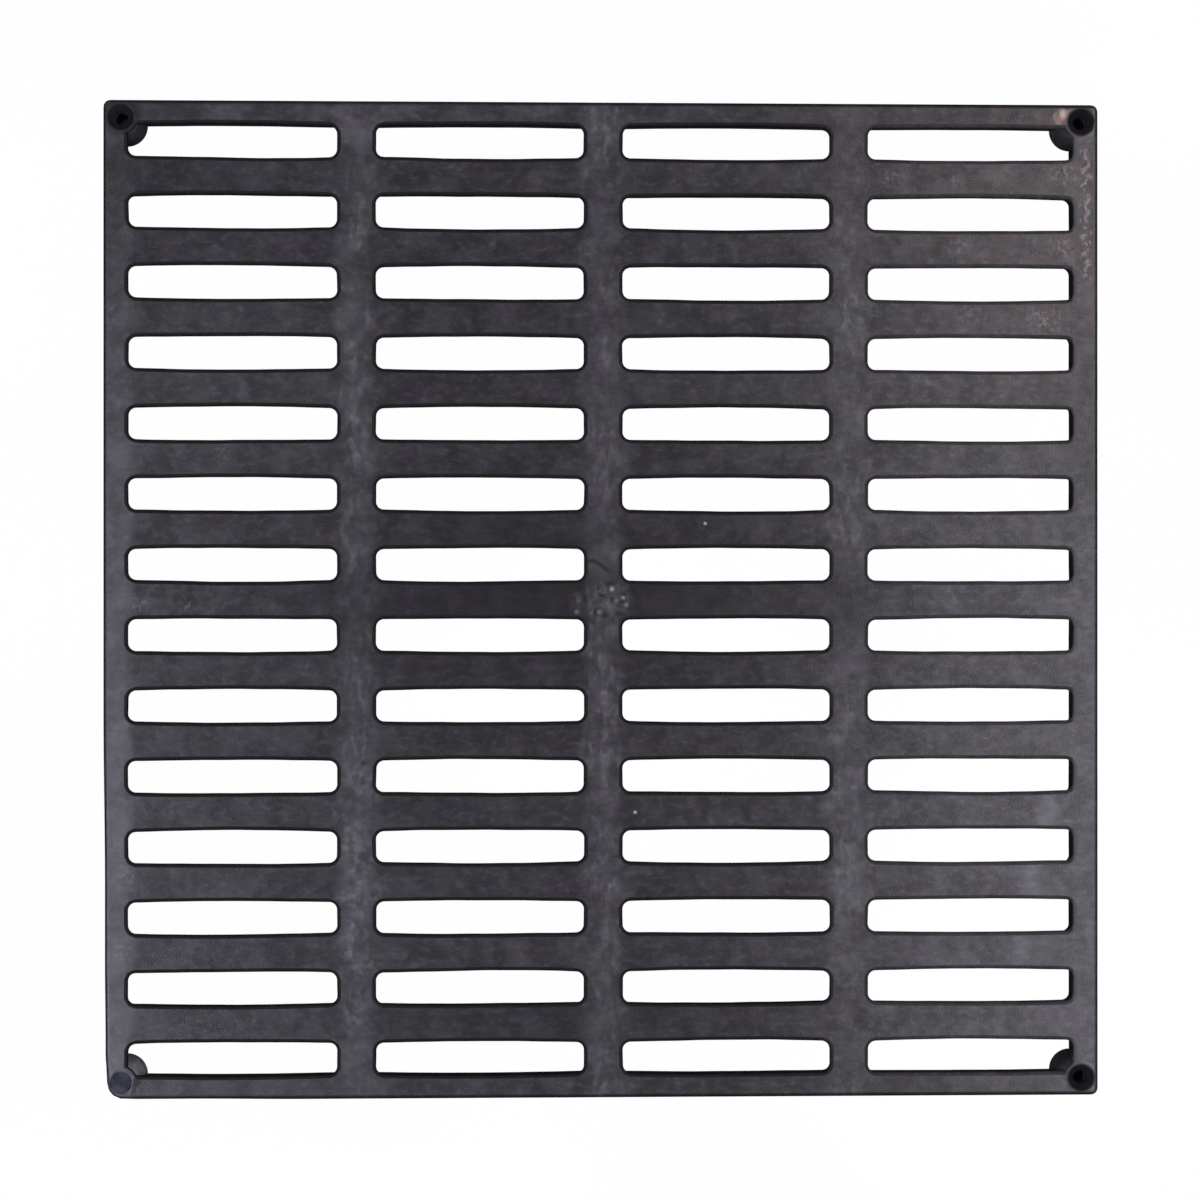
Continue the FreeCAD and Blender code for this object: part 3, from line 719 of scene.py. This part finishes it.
        # rough broken plastic with painted highlights at bright points and painted shade in its pits, and the dark flow
        # line above it
        true = n.here
        torn = n.new("ShaderNodeTexNoise", noise_dimensions="2D")
        n.put(torn.inputs["Vector"], n.place((0.55, 0.55, 0.55), (3.0, 8.0, 0.0)))
        torn.inputs["Scale"].default_value = 1.0
        torn.inputs["Detail"].default_value = 2.0
        pull = n.new("ShaderNodeVectorMath", operation="MULTIPLY_ADD")
        n.put(pull.inputs[0], torn.outputs["Color"])
        pull.inputs[1].default_value = (2.6, 2.6, 0.0)
        pull.inputs[2].default_value = (-1.3, -1.3, 0.0)
        moved = n.new("ShaderNodeVectorMath", operation="ADD")
        n.put(moved.inputs[0], true)
        n.put(moved.inputs[1], pull.outputs[0])
        n.here = moved.outputs[0]
        disc, tail = (n.spot(cx, cy, rx, ry, 0.30) for cx, cy, rx, ry, _ in SCARS)
        scar = n.math("MAXIMUM", disc, n.mul(tail, 0.40))
        pull.inputs[1].default_value, pull.inputs[2].default_value = (0.9, 0.9, 0.0), (-0.45, -0.45, 0.0)
        dark = n.math("MINIMUM", n.add(*[n.spot(px, py, rx * 1.15, ry * 1.15, 0.75) for px, py, rx, ry in PITS]), 1.0)
        n.here = true
        grain = n.smooth(n.noise(1.9, 15.0, 2.0, 0.55, bend=0.4), 0.36, 0.66)
        colour = n.mix(n.mul(scar, 0.85), colour, n.mix(grain, (0.018, 0.018, 0.021), (0.044, 0.043, 0.047)))
        # painted shade in the pits
        colour = n.mix(n.mul(dark, 0.82), colour, (0.0050, 0.0050, 0.0060))
        # painted highlights at the glints
        bright = n.add(*[n.mul(n.spot(px, py, r * 0.85, r, 0.9), k) for px, py, r, k in GLINTS])
        colour = n.mix(n.math("MINIMUM", n.mul(bright, 0.75), 0.85), colour, (0.29, 0.29, 0.30))
        drop = n.smooth(X, FLOW[2], FLOW[3], FLOW[0], FLOW[0] - FLOW[1])
        off_bow = n.math("ABSOLUTE", n.math("SUBTRACT", Y, drop))
        flow = n.mul(n.smooth(off_bow, 1.15, 0.1), n.smooth(X, -5.4, -4.6), n.smooth(X, 4.6, 0.0))
        colour = n.mix(n.mul(flow, 0.78), colour, (0.0045, 0.0045, 0.0055))
        painted_shade_and_marks = n.math("MAXIMUM", painted_shade_and_marks, n.math("MAXIMUM", n.mul(dark, 0.55), n.mul(flow, 0.55)))
        rough = n.add(rough, n.mul(scar, 0.06))
        height = n.add(height, n.mul(scar, n.noise(1.6, 19.0, 1.0, 0.5), 0.06))

    # painted shade: edges, hole mouths and pits go toward the dark bare plastic, with less specular
    colour = n.mix(painted_shade_and_marks, colour, n.mix(wisp, *DARK_PLASTIC))
    n.put(bsdf.inputs["Base Color"], colour)
    n.put(bsdf.inputs["Roughness"], n.math("MINIMUM", n.add(rough, n.mul(painted_shade_and_marks, 0.20)), 0.82))
    n.put(bsdf.inputs["Specular IOR Level"], n.smooth(painted_shade_and_marks, 0.0, 1.0, 0.5, 0.12))
    n.put(bump.inputs["Height"], height)
    return m


made.materials.clear()
KINDS = ("top", "wall", "sprue", "scuffed", "edge", "bore", "dirt", "side")
for kind in KINDS:
    made.materials.append(plastic(kind))
faces = len(made.polygons)
mid, out = np.zeros(faces * 3), np.zeros(faces * 3)
made.polygons.foreach_get("center", mid)
made.polygons.foreach_get("normal", out)
mid, out = mid.reshape(-1, 3) / MM, out.reshape(-1, 3)
fx, fy, fz = mid.T
sx_, sy_ = wander(fx, fy)
px_, py_ = fx - sx_, fy - sy_
# distance in the plan from the nearest slot's outline, outward
qx = np.abs(px_ - PX * (np.clip(np.floor(px_ / PX), -2, 1) + 0.5))
qy = np.abs(py_ - PY * (np.clip(np.floor(py_ / PY), -7, 6) + 0.5))
wide = SLOT_W / 2 - BOW * np.minimum(qx / (SLOT_L / 2), 1.0) ** 2
ex, ey = qx - (SLOT_L / 2 - SLOT_R), qy - (wide - SLOT_R)
from_slot = np.hypot(np.maximum(ex, 0), np.maximum(ey, 0)) + np.minimum(np.maximum(ex, ey), 0) - SLOT_R
from_hole = np.hypot(np.abs(fx) - HOLE_AT, np.abs(fy) - HOLE_AT)
# and from the panel's outline, inward
worn = (fx < 0) & (fy < 0)
turn_r = np.where(worn, CORNER_R[(-1, -1)], CORNER_R[(1, 1)])
ou, ov = np.abs(fx) - (HALF - turn_r), np.abs(fy) - (HALF - turn_r)
inside = turn_r - np.hypot(np.maximum(ou, 0), np.maximum(ov, 0)) - np.minimum(np.maximum(ou, ov), 0)
blunt = np.where((ou > 0) & (ov > 0), corner_size(np.maximum(ou, 0), np.maximum(ov, 0), True), np.maximum(ou + worn_left(fy), ov + worn_below(fx)))
inside = np.where(worn, turn_r - blunt, inside)

which = np.ones(faces, dtype=np.int32)
which[(inside < 0.30) | (out[:, 2] < -0.7)] = KINDS.index("side")
on_top = (fz > DEPTH - 1.25) & (out[:, 2] > 0.05)
which[on_top] = KINDS.index("top")
which[on_top & (np.abs(fx) < 12.5) & (fy > -9.0) & (fy < 15.0)] = KINDS.index("sprue")
which[on_top & (fx > 118.0) & (fy > 72.0)] = KINDS.index("scuffed")
which[(fz > DEPTH - 1.25) & (out[:, 2] > -0.02) & (from_slot < 1.20) & (from_hole > SINK_R + 0.2)] = KINDS.index("edge")
in_hole = (from_hole < SINK_R + 0.05) & (fz > 0.2) & (fz < DEPTH - 0.03) & ((out[:, 2] < 0.9) | (fz < DEPTH - 0.4))
which[in_hole] = KINDS.index("bore")
which[in_hole & (fx < 0) & (fy < 0)] = KINDS.index("dirt")
made.polygons.foreach_set("material_index", which)
print("faces by state:", {k: int((which == i).sum()) for i, k in enumerate(KINDS)})

# ------------------------------------------------------------------ pale floor and backdrop; they light nothing on the grate
pale, n, pb = start("pale_floor")
ax = n.new("ShaderNodeSeparateXYZ")
n.put(ax.inputs[0], n.here)
cx_, cy_ = (n.math("SUBTRACT", n.math("ABSOLUTE", ax.outputs[i]), HOLE_AT) for i in (0, 1))
lit = n.smooth(n.math("SQRT", n.add(n.mul(cx_, cx_), n.mul(cy_, cy_))), 2.5, 3.2, 0.007, 1.0)     # little light reaches the floor below the screw holes
tone = n.smooth(n.noise(140.0, 1.0, 1.0, dims="3D"), 0.3, 0.7, 0.988, 1.0)
glow = n.new("ShaderNodeEmission")
glow.inputs["Color"].default_value = (1, 1, 1, 1)
n.put(glow.inputs["Strength"], n.mul(lit, tone))
pale.node_tree.nodes.remove(pb)
n.put(pale.node_tree.nodes["Material Output"].inputs["Surface"], glow.outputs[0])
pale.cycles.emission_sampling = "NONE"

floor_me = bpy.data.meshes.new("floor")
s = 5.0
floor_me.from_pydata([(-s, -s, -0.0001), (s, -s, -0.0001), (s, s, -0.0001), (-s, s, -0.0001)], [], [(0, 1, 2, 3)])
floor = bpy.data.objects.new("floor", floor_me)
drop_me = bpy.data.meshes.new("backdrop")
bm = bmesh.new()
bmesh.ops.create_uvsphere(bm, u_segments=48, v_segments=24, radius=4.8)
bmesh.ops.delete(bm, geom=[v for v in bm.verts if v.co.z < -0.7], context="VERTS")
bmesh.ops.reverse_faces(bm, faces=bm.faces)
bm.to_mesh(drop_me)
bm.free()
drop_me.shade_smooth()
backdrop = bpy.data.objects.new("backdrop", drop_me)
for ob in (floor, backdrop):
    scene.collection.objects.link(ob)
    ob.data.materials.append(pale)
    ob.visible_diffuse = ob.visible_glossy = False
backdrop.visible_shadow = False

# ------------------------------------------------------------------ soft studio light from above
world = bpy.data.worlds.new("studio")
scene.world = world
world.use_nodes = True
w = Nodes(world.node_tree)
sky = w.new("ShaderNodeTexCoord")
sky_axes = w.new("ShaderNodeSeparateXYZ")
w.put(sky_axes.inputs[0], sky.outputs["Generated"])
back = world.node_tree.nodes["Background"]
sky_z = sky_axes.outputs[2]
w.put(back.inputs["Strength"], w.mul(w.smooth(sky_z, -0.10, 0.20, 0.02, 0.36), w.smooth(sky_z, 0.50, 0.85, 1.0, 0.25)))
back.inputs["Color"].default_value = (1.0, 0.97, 1.08, 1.0)


def softbox(name, place, aim, size, watts, tint):
    data = bpy.data.lights.new(name, "AREA")
    data.shape = "RECTANGLE"
    data.size, data.size_y = size
    data.energy = watts
    data.color = tint
    ob = bpy.data.objects.new(name, data)
    ob.location = place
    ob.rotation_euler = (Vector(aim) - Vector(place)).to_track_quat("-Z", "Y").to_euler()
    ob.visible_camera = False
    scene.collection.objects.link(ob)
    return ob


softbox("light_right", (0.60, -0.02, 1.10), (0.10, 0.0, 0.0), (1.30, 0.40), 8.6, (1.03, 0.985, 1.06))
softbox("light_left", (-0.60, -0.20, 1.10), (-0.10, 0.0, 0.0), (0.80, 0.40), 6.7, (0.97, 0.98, 1.12))
softbox("light_back", (0.0, 0.95, 1.2), (0.0, 0.0, 0.0), (0.9, 0.5), 1.3, (1.0, 0.98, 1.05))

scene.view_settings.view_transform = "Standard"
scene.view_settings.look = "None"
scene.view_settings.exposure = 0.0
scene.view_settings.gamma = 1.0

cam_data = bpy.data.cameras.new("camera")
cam_data.sensor_width = 36.0
cam_data.lens = 103.874
cam_data.clip_start, cam_data.clip_end = 0.01, 50.0
camera = bpy.data.objects.new("camera", cam_data)
camera.location = (-0.03934, -0.00052, 1.010)
camera.rotation_euler = (math.radians(0.0286), math.radians(-2.2196), math.radians(-0.0064))
scene.collection.objects.link(camera)
scene.camera = camera

# ------------------------------------------------------------------ the last line
bpy.context.view_layer.update()
